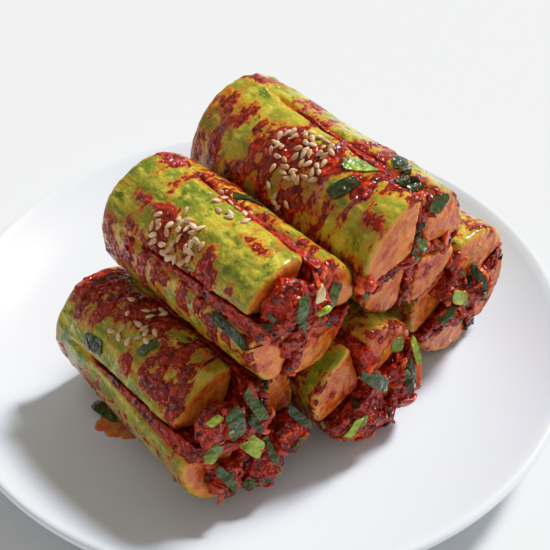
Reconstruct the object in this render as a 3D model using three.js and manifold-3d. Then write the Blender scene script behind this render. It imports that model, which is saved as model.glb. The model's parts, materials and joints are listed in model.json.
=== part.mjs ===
// Stuffed cucumber kimchi, stacked three below and two above on a round coupe plate.
// Millimetres, +Z up. The origin is the middle of the plate's foot, on the table.
// The cucumbers lie along Y with their cut ends towards -Y.

import * as THREE from "three";
import { mergeVertices } from "three/addons/utils/BufferGeometryUtils.js";
import Module from "manifold-3d";

const wasm = await Module();
wasm.setup();

// Plate
const rimRadius = 95;
const rimHeight = 20;
const wellRadius = 62; // flat middle, inside
const wellHeight = 7;
const plateWall = 4;
const footInnerRadius = 50;
const footOuterRadius = 56;
const footHeight = 2.4;
const plateSides = 40;

// Gaps that keep neighbouring pieces apart
const gap = 0.3;
const settleStep = 0.05;
const trimTolerance = 0.12; // slivers left by a cut are merged up to this size

// Cucumber sections, shared values
const uncutLength = 11; // left whole behind the cross cut
const rootOffset = 0.3; // half width of the cut where it ends
const rootDive = 3; // how far the quarters run on inside the whole end
const frontCorner = 3; // rounding of a quarter's skin edges at the cut end
const rootCorner = 0.8;
const sharpest = 0.3; // least rounding left on an outline that is drawn in
const coreChamfer = 0.8;
const tipEdge = 1; // rounding of the cut face
const tipLean = 0.05; // the spread quarters' faces lean back towards the skin
const backEdge = 2.2; // rounding of the whole end
const reliefDepth = 0.016; // of the radius
const outerSteps = 5; // segments along a quarter's skin
const quarterStations = [14, 34]; // mm behind the cut end, between the tip and the root

// Stuffing, shared values
const cutClearance = 0.5; // between the paste in a cut and the quarters beside it
const thinnestPaste = 0.15; // half width of the paste where it ends in the cut
const flareAngle = 50; // degrees round a quarter's skin edge that the paste fills
const ridgeHalfWidth = 1.3;
const stuffingStations = [14, 34]; // mm behind the cut end
const frontTaper = 1.6; // mm over which the paste narrows at the cut end
const leaf = { thickness: 0.8, curl: 0.5 };
const root = { thickness: 1.5, curl: 0.3 };
const stripFacing = new THREE.Vector3(-0.4, -1, 0.5); // strips in the cut end look out and up
const steepest = 2.5; // mm that an end of a strip may lie before or behind its middle
const stripSink = 0.25; // mm that a strip is pressed into what it lies on

// Sesame seeds
const seed = { length: 3.2, width: 1.9, height: 1.3, spacing: 2.3, sides: 5, bands: 3 };
const seedLift = -0.2; // middle of a seed above the skin
const seedLiftOnRidge = 0.9;
const seedsClearOfCut = 13; // degrees

// Each section: tip is where the middle of its cut end lies, in X and Y. turn is about Z. The raw
// radii are those before the quarters are spread. All angles round the axis are in degrees,
// clockwise from up, as seen facing the cut end. cross is the cross cut's turn, and skew is how far
// each of its arms, from the upper one on, is off square. behind is mm behind the cut end. setBack
// gives that for the tips of the upper right, lower right, lower left and upper left quarters.
// overflow is how far the paste stands out of the foremost quarter. lumps of paste
// and strips of leaf and root are placed in the plane of the cut end, X to the right and Z up.
// leaves lie on the skin, turned from the axis, and seeds are patches of sesame.
const sections = [
  {
    place: "lower_left", tip: [-40.6, -42.5], turn: -1.2, length: 71,
    frontRadius: 17.8, backRadius: 17.3, spread: 3.3, cross: 20, skew: [0, 0, 0, 0],
    setBack: [4.5, 2, 2, 10], overflow: 1.5,
    lumps: [
      { at: [14, -5], behind: -0.5, radius: 6.3 },
      { at: [4, -10.5], behind: 0, radius: 7.5 },
      { at: [-9, -7], behind: 0.5, radius: 6 },
      { at: [3, 7], behind: 1.5, radius: 5.5 },
      { at: [-8, 11], behind: 3, radius: 7 },
    ],
    strips: [
      { of: leaf, from: [-5.3, 17.3], to: [-5, 7.9], width: 5 },
      { of: leaf, from: [1.6, 17.2], to: [4, 7.9], width: 3.2 },
      { of: leaf, from: [-1.8, 2.7], to: [2.4, -3.8], width: 5 },
      { of: leaf, from: [-14.7, 3.1], to: [-10.2, 6.8], width: 3.6 },
      { of: leaf, from: [-12.3, 0.1], to: [-9.3, -6.9], width: 2.6 },
      { of: leaf, from: [-1.8, -10.8], to: [-3.2, -16.5], width: 4 },
      { of: leaf, from: [13.7, 4.2], to: [18.8, -4.8], width: 2.6 },
    ],
    leaves: [
      { behind: 51, around: -54, turn: 12, length: 8, width: 4.2 },
      { behind: 33, around: -24, turn: 70, length: 6, width: 3 },
    ],
    seeds: [{ behind: 43, around: -12, halfLength: 9, halfAngle: 24, count: 13 }],
    phase: 11,
  },
  {
    place: "lower_middle", tip: [-0.2, -50.5], turn: 0, length: 71,
    frontRadius: 17, backRadius: 18.4, spread: 2.8, cross: -14, skew: [0, -4, -4, -12],
    setBack: [1.5, 0, 0, 3], overflow: 1,
    lumps: [
      { at: [10.5, -1], behind: 1, radius: 6 },
      { at: [-4, -9], behind: 0, radius: 6.5 },
      { at: [11.5, -9], behind: -0.5, radius: 5.6 },
      { at: [3.5, -13], behind: 0, radius: 5 },
    ],
    strips: [
      { of: leaf, from: [-6, 10.5], to: [1.5, 2], width: 4.2 },
      { of: leaf, from: [-8.8, -4.5], to: [-12.6, -10.6], width: 2.4 },
      { of: leaf, from: [11, 4.4], to: [10.5, -5], width: 3.6 },
      { of: leaf, from: [11, 10.7], to: [9.6, 5.7], width: 3.6 },
      { of: leaf, from: [15, 9], to: [15.6, 1], width: 2 },
      { of: root, from: [16, 2], to: [13.6, -7.2], width: 2.4 },
    ],
    leaves: [],
    seeds: [],
    phase: 23,
  },
  {
    place: "lower_right", tip: [46.4, -43.8], turn: 2.1, length: 73,
    frontRadius: 18.5, backRadius: 19.3, spread: 3.2, cross: -20, skew: [0, 0, 0, -4],
    setBack: [1, 1, 1, 3], overflow: 0.5,
    lumps: [
      { at: [5, 1], behind: 0, radius: 5.5 },
      { at: [-6, -3], behind: 0.5, radius: 5 },
      { at: [-8, 7], behind: 2.5, radius: 5 },
    ],
    strips: [
      { of: leaf, from: [-9.4, 6.8], to: [-0.4, -0.8], width: 4.4 },
      { of: leaf, from: [-12.9, -2.7], to: [-7.3, 0.7], width: 4.6 },
      { of: leaf, from: [2.3, 9.4], to: [4.4, 2.2], width: 2.6 },
    ],
    leaves: [],
    seeds: [],
    phase: 37,
  },
  {
    place: "upper_left", tip: [-20, -42.2], turn: -0.2, pitch: 1.7, length: 68,
    restsOn: ["lower_left", "lower_middle"],
    frontRadius: 16.4, backRadius: 18.3, spread: 2.7, cross: 22, skew: [0, 0, 0, 0],
    setBack: [0.5, 0, 0.5, 5], overflow: 1,
    lumps: [
      { at: [-5, 9], behind: 2, radius: 7.5 },
      { at: [3, 5], behind: 1, radius: 5.5 },
      { at: [-5, -4], behind: 2, radius: 4.5 },
    ],
    strips: [
      { of: leaf, from: [11.8, 6.8], to: [7, 0.7], width: 3.6 },
      { of: leaf, from: [-4.7, 16.6], to: [-7.1, 8.1], width: 4 },
      { of: root, from: [3, 12.9], to: [2.2, 7.8], width: 2.6 },
      { of: leaf, from: [1.2, 4.3], to: [5, 5.7], width: 1.8 },
      { of: leaf, from: [-4.2, 4.2], to: [-2.1, 1.1], width: 3 },
    ],
    leaves: [
      { behind: 9, around: -81, turn: -4, length: 14, width: 2.4 },
      { behind: 36, around: 38, turn: 40, length: 8, width: 3.6 },
    ],
    seeds: [
      { behind: 38, around: -41, halfLength: 10, halfAngle: 22, count: 16 },
      { behind: 33, around: 3, halfLength: 9, halfAngle: 6, count: 3 },
    ],
    ridgeSeeds: { from: 27, to: 42, count: 5 },
    phase: 41,
  },
  {
    place: "upper_right", tip: [19.6, -45], turn: -0.2, pitch: -0.5, length: 77.5,
    restsOn: ["lower_middle", "lower_right"],
    frontRadius: 18, backRadius: 19.9, spread: 3, cross: 10, skew: [0, 6, -6, -24],
    setBack: [1, 0.5, 2, 0], overflow: -1.5,
    lumps: [{ at: [-2, 1], behind: 4, radius: 6 }],
    strips: [
      { of: leaf, from: [-1.9, 1.7], to: [2.2, 4.7], width: 4 },
      { of: leaf, from: [4.2, 13.4], to: [9, 17.2], width: 4.2 },
    ],
    leaves: [
      { behind: 22, around: -6, turn: 35, length: 9, width: 4.6 },
      { behind: 16, around: 24, turn: -30, length: 9, width: 4.2 },
      { behind: 20, around: -30, turn: 60, length: 8, width: 4.6 },
    ],
    seeds: [
      { behind: 38, around: -27, halfLength: 10, halfAngle: 24, count: 23 },
      { behind: 38, around: -66, halfLength: 6, halfAngle: 7, count: 3 },
    ],
    phase: 53,
  },
];

// The scrap of chive that fell beside the heap
const scrap = { middle: [-54.5, 8.5], turn: 25, length: 8.5, width: 4.5, thickness: 1, curl: 1.2 };

const finishes = {
  plate: { color: 0xf2f4f6, roughness: 0.25, metalness: 0 },
  cucumber: { color: 0x8f9a3a, roughness: 0.35, metalness: 0 },
  stuffing: { color: 0x9c2214, roughness: 0.4, metalness: 0 },
  chive: { color: 0x55742e, roughness: 0.45, metalness: 0 },
};

const { clamp, degToRad, euclideanModulo, lerp, radToDeg, seededRandom, smoothstep } = THREE.MathUtils;
const draw = (low, high) => lerp(low, high, seededRandom());
const forward = new THREE.Vector3(0, 1, 0); // from a cut end towards its whole end

// Solids and geometry

function solidOf(geometry) {
  const bare = geometry.clone();
  bare.deleteAttribute("normal");
  bare.deleteAttribute("uv");
  const merged = mergeVertices(bare, 1e-4);
  return new wasm.Manifold(new wasm.Mesh({
    numProp: 3,
    vertProperties: new Float32Array(merged.attributes.position.array),
    triVerts: new Uint32Array(merged.index.array),
  }));
}

function geometryOf(solid) {
  const { vertProperties, triVerts } = solid.getMesh();
  const geometry = new THREE.BufferGeometry();
  geometry.setAttribute("position", new THREE.BufferAttribute(vertProperties, 3));
  geometry.setIndex(new THREE.BufferAttribute(triVerts, 1));
  geometry.computeVertexNormals();
  return geometry;
}

function largestOf(solid) {
  return solid.decompose().sort((one, other) => other.volume() - one.volume())[0];
}

const joined = (solids) => solids.reduce((whole, solid) => whole.add(solid));

// A closed skin over rings of points that run from front to back, each ring anticlockwise as seen
// from the front
function loft(rings) {
  const count = rings[0].length;
  const index = [];
  for (let ring = 0; ring < rings.length - 1; ring++) {
    for (let i = 0; i < count; i++) {
      const here = ring * count + i;
      const next = ring * count + ((i + 1) % count);
      index.push(here, here + count, next, next, here + count, next + count);
    }
  }
  const cap = (ring, first, turned) => {
    const flat = ring.map((point) => new THREE.Vector2(point.x, point.z));
    for (const [a, b, c] of THREE.ShapeUtils.triangulateShape(flat, [])) {
      const facing = THREE.ShapeUtils.area([flat[a], flat[b], flat[c]]) > 0;
      const [second, third] = facing === turned ? [c, b] : [b, c];
      index.push(first + a, first + second, first + third);
    }
  };
  cap(rings[0], 0, false);
  cap(rings.at(-1), count * (rings.length - 1), true);
  const geometry = new THREE.BufferGeometry().setFromPoints(rings.flat());
  geometry.setIndex(index);
  return solidOf(geometry);
}

// A direction across a section, in degrees clockwise from up, as seen facing its cut end
const across = (angle) => new THREE.Vector3(Math.sin(degToRad(angle)), 0, Math.cos(degToRad(angle)));

// Plate

function plateProfile() {
  const inner = [];
  const outer = [];
  for (const share of [0, 0.3, 0.55, 0.77, 0.93]) {
    const radius = lerp(wellRadius, rimRadius, share);
    const height = lerp(wellHeight, rimHeight, share ** 1.8);
    const wall = plateWall * (1 - 0.35 * share);
    inner.push(new THREE.Vector2(radius, height));
    outer.push(new THREE.Vector2(radius + 0.45 * plateWall * share, height - wall));
  }
  const lip = [
    new THREE.Vector2(rimRadius - 0.6, rimHeight),
    new THREE.Vector2(rimRadius + 0.5, rimHeight - 0.9),
  ];
  const foot = [
    new THREE.Vector2(footOuterRadius + 1, footHeight),
    new THREE.Vector2(footOuterRadius, 0),
    new THREE.Vector2(footInnerRadius, 0),
    new THREE.Vector2(footInnerRadius - 1, footHeight),
  ];
  const undersideMiddle = new THREE.Vector2(0, footHeight);
  const wellMiddle = new THREE.Vector2(0, wellHeight);
  return [undersideMiddle, ...foot.reverse(), ...outer, ...lip.reverse(), ...inner.reverse(), wellMiddle];
}

function makePlate() {
  return solidOf(new THREE.LatheGeometry(plateProfile(), plateSides).rotateX(Math.PI / 2));
}

// Cucumber sections

const rootOf = (piece) => piece.length - uncutLength;
const radiusAt = (piece, y) => lerp(piece.frontRadius, piece.backRadius, smoothstep(y, 0, piece.length));
const offsetAt = (piece, y) => lerp(piece.spread / Math.SQRT2, rootOffset, y / rootOf(piece));
const cornerAt = (piece, y) => lerp(frontCorner, rootCorner, clamp(y / rootOf(piece), 0, 1));
const reachOf = (radius, corner) => Math.sqrt((radius - corner) ** 2 - corner ** 2);

// How far a direction has turned, in degrees, because the cuts aren't square to each other
function skewAt(piece, angle) {
  const turn = euclideanModulo(angle - piece.cross, 360) / 90;
  const arm = Math.floor(turn);
  return lerp(piece.skew[arm], piece.skew[(arm + 1) % 4], smoothstep(turn - arm, 0, 1));
}

// The skew of the cuts, and low waves on the skin that leave the axis as it is
function weather(piece, point, y) {
  point.applyAxisAngle(forward, degToRad(skewAt(piece, radToDeg(Math.atan2(point.x, point.z)))));
  const angle = Math.atan2(point.x, point.z);
  const wave = Math.sin(2 * angle + y / 19 + piece.phase)
    + 0.7 * Math.sin(5 * angle - y / 11 + 2 * piece.phase)
    + 0.6 * Math.sin(3 * angle + y / 6 + 3 * piece.phase);
  const share = Math.min(1, (Math.hypot(point.x, point.z) / radiusAt(piece, y)) ** 3);
  return point.multiplyScalar(1 + reliefDepth * wave * share);
}

// One quarter's outline in its own corner: along one cut, round the skin and back along the other.
// grow moves the whole outline outwards.
function quarterOutline(piece, y, grow) {
  const radius = radiusAt(piece, y);
  const corner = Math.max(cornerAt(piece, y), sharpest - grow);
  const reach = reachOf(radius, corner);
  const lean = Math.atan2(corner, reach);
  const bend = lerp(-Math.PI / 2, lean, 0.55);
  const half = [
    [coreChamfer - grow, -grow],
    [reach, -grow],
    [reach + (corner + grow) * Math.cos(bend), corner + (corner + grow) * Math.sin(bend)],
  ];
  const skin = [];
  for (let step = 0; step <= outerSteps; step++) {
    const angle = lerp(lean, Math.PI / 2 - lean, step / outerSteps);
    skin.push([(radius + grow) * Math.cos(angle), (radius + grow) * Math.sin(angle)]);
  }
  const mirrored = half.map(([a, b]) => [b, a]).reverse();
  return [...half, ...skin, ...mirrored];
}

function quarterRing(piece, quarter, y, grow, place = y) {
  const along = across(piece.cross + 90 * (quarter + 1));
  const beside = across(piece.cross + 90 * quarter);
  const offset = offsetAt(piece, y);
  return quarterOutline(piece, y, grow).map(([a, b]) => {
    const point = along.clone().multiplyScalar(a + offset).addScaledVector(beside, b + offset);
    return weather(piece, point, y).setY(place);
  });
}

function makeQuarter(piece, quarter, grow) {
  const tip = piece.setBack[quarter];
  const root = rootOf(piece);
  const rings = [
    quarterRing(piece, quarter, tip, grow - tipEdge, tip - grow),
    quarterRing(piece, quarter, tip + tipEdge, grow, tip + tipEdge - grow),
  ];
  for (const y of quarterStations) {
    rings.push(quarterRing(piece, quarter, y + tip / 2, grow));
  }
  rings.push(quarterRing(piece, quarter, root, grow));
  rings.push(quarterRing(piece, quarter, root + rootDive, grow - rootDive / 2));
  for (const point of [...rings[0], ...rings[1]]) {
    point.y += tipLean * Math.hypot(point.x, point.z);
  }
  return loft(rings);
}

function wholeRing(piece, y, grow) {
  const sides = 4 * outerSteps;
  return Array.from({ length: sides }, (_, step) => {
    const point = across(-360 * step / sides).multiplyScalar(radiusAt(piece, y) + grow);
    return weather(piece, point, y).setY(y);
  });
}

function makeWholeEnd(piece, grow) {
  const root = rootOf(piece);
  const end = piece.length + grow;
  const rings = [
    wholeRing(piece, root - 0.5, grow - 1),
    wholeRing(piece, root + 1, grow),
    wholeRing(piece, end - backEdge, grow),
    wholeRing(piece, end, grow - backEdge),
  ];
  return loft(rings);
}

function makeCucumber(piece, grow = 0) {
  let solid = makeWholeEnd(piece, grow);
  for (let quarter = 0; quarter < 4; quarter++) {
    solid = solid.add(makeQuarter(piece, quarter, grow));
  }
  return solid;
}

// Sesame seeds

// The direction that the skew turned to this one
const squaredAngle = (piece, angle) => angle - skewAt(piece, angle - skewAt(piece, angle));

// How far out the skin lies, in one direction
function surfaceAt(piece, angle, y) {
  const squared = squaredAngle(piece, angle);
  const turn = degToRad(euclideanModulo(squared - piece.cross, 90) - 45);
  const shift = Math.SQRT2 * offsetAt(piece, y);
  const radius = radiusAt(piece, y);
  const distance = shift * Math.cos(turn) + Math.sqrt(radius ** 2 - (shift * Math.sin(turn)) ** 2);
  return weather(piece, across(squared).multiplyScalar(distance), y).length();
}

function placeSeed(piece, angle, y, lift) {
  const geometry = new THREE.SphereGeometry(0.5, seed.sides, seed.bands);
  geometry.scale(seed.width, seed.length, seed.height).rotateZ(draw(0, Math.PI)).rotateX(draw(-0.15, 0.15));
  geometry.translate(0, 0, surfaceAt(piece, angle, y) + lift);
  return solidOf(geometry.rotateY(degToRad(angle)).translate(0, y, 0));
}

// Places drawn inside each oval patch, apart from each other and from the cuts
function seedSpots(piece) {
  const spots = [];
  for (const patch of piece.seeds) {
    const full = spots.length + patch.count;
    for (let tries = 0; spots.length < full && tries < 60 * patch.count; tries++) {
      const bearing = draw(0, 2 * Math.PI);
      const share = Math.sqrt(seededRandom());
      const y = patch.behind + patch.halfLength * share * Math.cos(bearing);
      const angle = patch.around + patch.halfAngle * share * Math.sin(bearing);
      const place = across(angle).multiplyScalar(piece.backRadius).setY(y);
      const fromCut = Math.abs(euclideanModulo(squaredAngle(piece, angle) - piece.cross + 45, 90) - 45);
      const crowded = spots.some((other) => other.place.distanceTo(place) < seed.spacing);
      if (fromCut > seedsClearOfCut && !crowded) {
        spots.push({ y, angle, place });
      }
    }
  }
  return spots;
}

function ridgeSeeds(piece) {
  const { from, to, count } = piece.ridgeSeeds ?? { count: 0 };
  return Array.from({ length: count }, (_, step) => {
    const y = lerp(from, to, (step + 0.5) / count) + draw(-0.4, 0.4);
    return placeSeed(piece, piece.cross + draw(-3, 3), y, seedLiftOnRidge);
  });
}

// Stuffing

// The paste in one arm of the cross: out along one side, over its ridge and back, and the corner
// that it shares with the next arm
function armOutline(piece, arm, y) {
  const offset = offsetAt(piece, y);
  const radius = radiusAt(piece, y);
  const corner = cornerAt(piece, y);
  const width = offset - cutClearance;
  const reach = reachOf(radius, corner) + offset;
  const shoulder = reach + corner * Math.sin(degToRad(flareAngle));
  const flare = width + corner * (1 - Math.cos(degToRad(flareAngle)));
  const crest = Math.min(ridgeHalfWidth, 0.6 * flare);
  const waves = 0.7 * Math.sin(y / 5 + arm * 2 + piece.phase) + 0.4 * Math.sin(y / 2.3 + arm + piece.phase);
  const top = Math.max(radius + offset / 2 + waves - 0.2, shoulder + 0.15);
  return [
    [reach, -width],
    [shoulder, -flare],
    [top, -crest],
    [top + 0.3, crest],
    [shoulder, flare],
    [reach, width],
    [width, width],
  ];
}

function stuffingRing(piece, y, shrink = 1) {
  return [3, 2, 1, 0].flatMap((arm) => {
    const outwards = across(piece.cross + 90 * arm);
    const aside = across(piece.cross + 90 * (arm - 1));
    return armOutline(piece, arm, y).map(([a, b]) => {
      const point = outwards.clone().multiplyScalar(a * shrink).addScaledVector(aside, b);
      return weather(piece, point, y).setY(y);
    });
  });
}

function lumpSolid({ at, behind, radius }, phase) {
  const bare = new THREE.IcosahedronGeometry(radius, 1).deleteAttribute("normal").deleteAttribute("uv");
  const geometry = mergeVertices(bare, 1e-3).scale(1, 0.7, 1);
  const position = geometry.attributes.position;
  const point = new THREE.Vector3();
  for (let i = 0; i < position.count; i++) {
    const swell = 1 + 0.13 * Math.sin(i * 2.4 + phase) + 0.07 * Math.sin(i * 5.1 + phase * 2);
    point.fromBufferAttribute(position, i).multiplyScalar(swell);
    position.setXYZ(i, point.x, point.y, point.z);
  }
  return solidOf(geometry.translate(at[0], behind, at[1]));
}

// A curled strip of leaf or root along Y, its width along X
function strip({ length, width, thickness, curl }) {
  const rings = [-1, 0, 1].map((share) => {
    const lift = curl * (1 - share * share);
    const half = width / 2 * (1 - 0.1 * Math.abs(share));
    return [[half, -1], [half, 1], [-half, 1], [-half, -1]].map(
      ([x, side]) => new THREE.Vector3(x, share * length / 2, lift + side * thickness / 2));
  });
  return loft(rings);
}

// How far forward the foremost of some solids lies, at a point of the cut end's plane
function frontOf(solids) {
  const meshes = solids.map((solid) => new THREE.Mesh(geometryOf(solid)));
  const caster = new THREE.Raycaster();
  return (x, z) => {
    caster.set(new THREE.Vector3(x, -50, z), new THREE.Vector3(0, 1, 0));
    return caster.intersectObjects(meshes)[0]?.point.y;
  };
}

// Lays a strip from one point of the cut end to another, on what is there
function layStrip({ of, from, to, width }, front) {
  const middle = new THREE.Vector3((from[0] + to[0]) / 2, 0, (from[1] + to[1]) / 2);
  const depth = front(middle.x, middle.z) ?? front(...from) ?? front(...to);
  const [start, end] = [from, to].map(([x, z]) => {
    const there = clamp(front(x, z) ?? depth, depth - steepest, depth + steepest);
    return new THREE.Vector3(x, there, z);
  });
  middle.y = Math.min(depth, (start.y + end.y) / 2) + stripSink;
  const along = end.clone().sub(start);
  const length = along.length();
  along.normalize();
  const facing = stripFacing.clone().addScaledVector(along, -stripFacing.dot(along)).normalize();
  const aside = along.clone().cross(facing);
  const matrix = new THREE.Matrix4().makeBasis(aside, along, facing).setPosition(middle);
  return strip({ ...of, length, width }).transform(matrix.elements);
}

// A leaf lying on the skin. grow makes it larger all round.
function layLeaf(piece, { behind, around, turn, length, width }, grow = 0) {
  const flat = strip({
    length: length + 2 * grow,
    width: width + 2 * grow,
    thickness: 2 * leaf.thickness + 2 * grow,
    curl: 0,
  }).rotate([0, 0, turn]);
  const out = across(around).multiplyScalar(surfaceAt(piece, around, behind)).setY(behind);
  return flat.rotate([0, around, 0]).translate(out.toArray());
}

function makeStuffing(piece) {
  const widest = piece.spread / Math.SQRT2;
  const end = rootOf(piece) * (widest - cutClearance - thinnestPaste) / (widest - rootOffset);
  const front = Math.min(...piece.setBack) - piece.overflow;
  const cross = loft([
    stuffingRing(piece, front, 0.72),
    stuffingRing(piece, front + frontTaper, 0.97),
    ...[...stuffingStations, end].map((y) => stuffingRing(piece, y)),
  ]);
  const quarters = makeCucumber(piece, gap);
  const lumps = piece.lumps.map((values, order) => lumpSolid(values, piece.phase + order));
  const paste = joined([cross, ...lumps]);
  const strips = piece.strips.map((values) => layStrip(values, frontOf([paste, quarters])));
  const filled = joined([paste, ...strips]).subtract(quarters);
  const leaves = piece.leaves.map((values) => layLeaf(piece, values, gap));
  return leaves.reduce((whole, cut) => whole.subtract(cut), joined([filled, ...ridgeSeeds(piece)]));
}

// The heap

// A section's frame: origin in the middle of its cut end, +Y towards its whole end
function frameAt(piece, height) {
  const drop = piece.frontRadius + 0.9 * piece.spread - piece.backRadius;
  const pitch = piece.pitch ?? radToDeg(Math.atan2(drop, piece.length));
  const frame = new THREE.Object3D();
  frame.rotation.set(degToRad(-pitch), 0, degToRad(piece.turn), "ZXY");
  frame.position.set(piece.tip[0], piece.tip[1], height);
  frame.updateMatrix();
  return frame;
}

const placed = (solid, frame) => solid.transform(frame.matrix.elements);

// The lower three lie in the well, and each upper one is lowered until it rests on its two
function restingFrame(piece, laid) {
  const solid = makeCucumber(piece);
  if (!piece.restsOn) {
    const lowest = placed(solid, frameAt(piece, 0)).boundingBox().min[2];
    return frameAt(piece, wellHeight + gap - lowest);
  }
  const below = laid.filter(({ place }) => piece.restsOn.includes(place));
  const supports = below.map((other) => placed(makeCucumber(other), other.frame));
  let height = below[0].frame.position.z + 1.5 * piece.frontRadius;
  const meets = (support) => placed(solid, frameAt(piece, height)).minGap(support, 2 * gap) < gap;
  while (supports.some(meets)) {
    height += settleStep;
  }
  return frameAt(piece, height);
}

// The stuffing gives way to the other cucumbers of the heap
function fitted(stuffing, piece, laid) {
  const home = piece.frame.matrix.clone().invert();
  const others = laid.filter((other) => other !== piece);
  const cutters = others.map((other) => {
    const between = home.clone().multiply(other.frame.matrix);
    return makeCucumber(other, gap).transform(between.elements);
  });
  return largestOf(stuffing.subtract(joined(cutters)).simplify(trimTolerance));
}

function namedMesh(name, solid, finish) {
  const mesh = new THREE.Mesh(geometryOf(solid), new THREE.MeshStandardMaterial(finish));
  mesh.name = name;
  return mesh;
}

function makeHeap() {
  const laid = [];
  for (const piece of sections) {
    laid.push({ ...piece, frame: restingFrame(piece, laid) });
  }
  const heap = new THREE.Group();
  for (const piece of laid) {
    seededRandom(piece.phase);
    const seeds = seedSpots(piece).map(({ angle, y }) => placeSeed(piece, angle, y, seedLift));
    const leaves = piece.leaves.map((values) => layLeaf(piece, values));
    const cucumber = largestOf(joined([makeCucumber(piece), ...seeds, ...leaves]).simplify(trimTolerance));
    const stuffing = fitted(makeStuffing(piece), piece, laid);
    const group = new THREE.Group();
    group.position.copy(piece.frame.position);
    group.rotation.copy(piece.frame.rotation);
    group.add(namedMesh(`cucumber_${piece.place}`, cucumber, finishes.cucumber));
    group.add(namedMesh(`stuffing_${piece.place}`, stuffing, finishes.stuffing));
    heap.add(group);
  }
  return heap;
}

function makeScrap() {
  const mesh = namedMesh("chive_scrap", strip(scrap), finishes.chive);
  mesh.position.set(scrap.middle[0], scrap.middle[1], wellHeight + gap + scrap.thickness / 2);
  mesh.rotation.z = degToRad(scrap.turn);
  return mesh;
}

const kimchi = new THREE.Group();
kimchi.add(namedMesh("plate", makePlate(), finishes.plate), makeHeap(), makeScrap());

export default kimchi;
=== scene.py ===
import json
import math
import random

import bmesh
import bpy
from mathutils import Matrix, Vector, noise
from mathutils.bvhtree import BVHTree

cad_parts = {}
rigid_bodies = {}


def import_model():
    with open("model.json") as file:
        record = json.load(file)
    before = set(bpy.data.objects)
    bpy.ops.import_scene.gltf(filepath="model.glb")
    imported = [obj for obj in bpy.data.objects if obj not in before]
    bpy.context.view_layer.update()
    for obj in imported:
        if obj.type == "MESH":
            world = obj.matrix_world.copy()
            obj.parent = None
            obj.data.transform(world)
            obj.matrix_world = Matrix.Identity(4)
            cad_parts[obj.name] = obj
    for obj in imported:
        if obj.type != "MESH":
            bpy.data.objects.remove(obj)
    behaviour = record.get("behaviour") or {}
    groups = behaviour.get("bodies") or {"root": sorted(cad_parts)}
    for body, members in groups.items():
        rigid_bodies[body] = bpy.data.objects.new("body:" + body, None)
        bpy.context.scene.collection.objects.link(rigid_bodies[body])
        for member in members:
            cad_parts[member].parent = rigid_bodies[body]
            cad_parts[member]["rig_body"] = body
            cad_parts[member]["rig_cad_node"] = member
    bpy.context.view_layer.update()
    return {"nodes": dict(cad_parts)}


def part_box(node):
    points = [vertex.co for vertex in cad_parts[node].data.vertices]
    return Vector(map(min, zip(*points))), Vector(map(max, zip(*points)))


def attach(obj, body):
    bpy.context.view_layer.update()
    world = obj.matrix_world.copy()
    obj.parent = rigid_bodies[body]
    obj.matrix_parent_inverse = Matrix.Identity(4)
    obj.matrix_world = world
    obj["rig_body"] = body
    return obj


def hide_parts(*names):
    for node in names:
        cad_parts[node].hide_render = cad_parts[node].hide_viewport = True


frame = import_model()
bpy.ops.object.select_all(action="DESELECT")

mm = 0.001  # pieces are modelled in millimetres and placed in metres
toMetres = Matrix.Scale(mm, 4)
asItIs = Matrix.Identity(4)
close = 0.01  # places within this many millimetres are taken as one
dice = random.Random(5)


# Working on one object

def pickObject(piece):
    bpy.ops.object.select_all(action="DESELECT")
    piece.select_set(True)
    bpy.context.view_layer.objects.active = piece


def pick(kind, test):
    # selects the vertices, edges or faces whose corners all pass the test
    bpy.ops.mesh.select_mode(type=kind)
    bpy.ops.mesh.select_all(action="DESELECT")
    mesh = bmesh.from_edit_mesh(bpy.context.edit_object.data)
    elements = {"VERT": mesh.verts, "EDGE": mesh.edges, "FACE": mesh.faces}[kind]
    for element in elements:
        corners = [element.co] if kind == "VERT" else [corner.co for corner in element.verts]
        if all(test(corner) for corner in corners):
            element.select_set(True)
    bmesh.update_edit_mesh(bpy.context.edit_object.data)


def modify(piece, kind, **settings):
    pickObject(piece)
    modifier = piece.modifiers.new(kind.lower(), kind)
    for name, value in settings.items():
        setattr(modifier, name, value)
    bpy.ops.object.modifier_apply(modifier=modifier.name)


def weld(piece, voxel, smoothings=1):
    # one even mesh round everything that is in the piece
    modify(piece, "REMESH", mode="VOXEL", voxel_size=voxel)
    modify(piece, "SMOOTH", factor=0.5, iterations=smoothings)


def join(pieces, name):
    bpy.ops.object.select_all(action="DESELECT")
    for piece in pieces:
        piece.select_set(True)
    bpy.context.view_layer.objects.active = pieces[0]
    bpy.ops.object.join()
    pieces[0].name = name
    pieces[0].data.name = name
    return pieces[0]


def copyOf(model, matrix):
    copy = model.copy()
    copy.data = model.data.copy()
    copy.data.transform(matrix)
    bpy.context.collection.objects.link(copy)
    return copy


def smoothStep(low, high, value):
    share = min(1, max(0, (value - low) / (high - low)))
    return share * share * (3 - 2 * share)


def reshape(piece, move):
    # moves each vertex to where move(place, normal) says, all read before the first is moved
    places = [(vertex.co.copy(), vertex.normal.copy()) for vertex in piece.data.vertices]
    moved = [value for place, normal in places for value in move(place, normal)]
    piece.data.vertices.foreach_set("co", moved)
    piece.data.update()


def bumpsAt(spot, bumps):
    # the sum of noises, each with its height and its size
    return sum(height * noise.noise(spot / size) for height, size in bumps)


def treeOf(piece):
    mesh = bmesh.new()
    mesh.from_mesh(piece.data)
    tree = BVHTree.FromBMesh(mesh)
    mesh.free()
    return tree


def store(piece, name, values, kind="FLOAT"):
    attribute = piece.data.attributes.new(name, kind, "POINT")
    attribute.data.foreach_set("vector" if kind == "FLOAT_VECTOR" else "value", values)


def tint(piece, tone):
    # one tone for a whole piece, which its finish reads
    store(piece, "tone", [tone] * len(piece.data.vertices))


def eitherWay(size):
    return dice.uniform(-size, size)


def anyVector(size):
    # a random vector, each part of it up to that size
    return Vector([eitherWay(size) for _ in range(3)])


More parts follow.
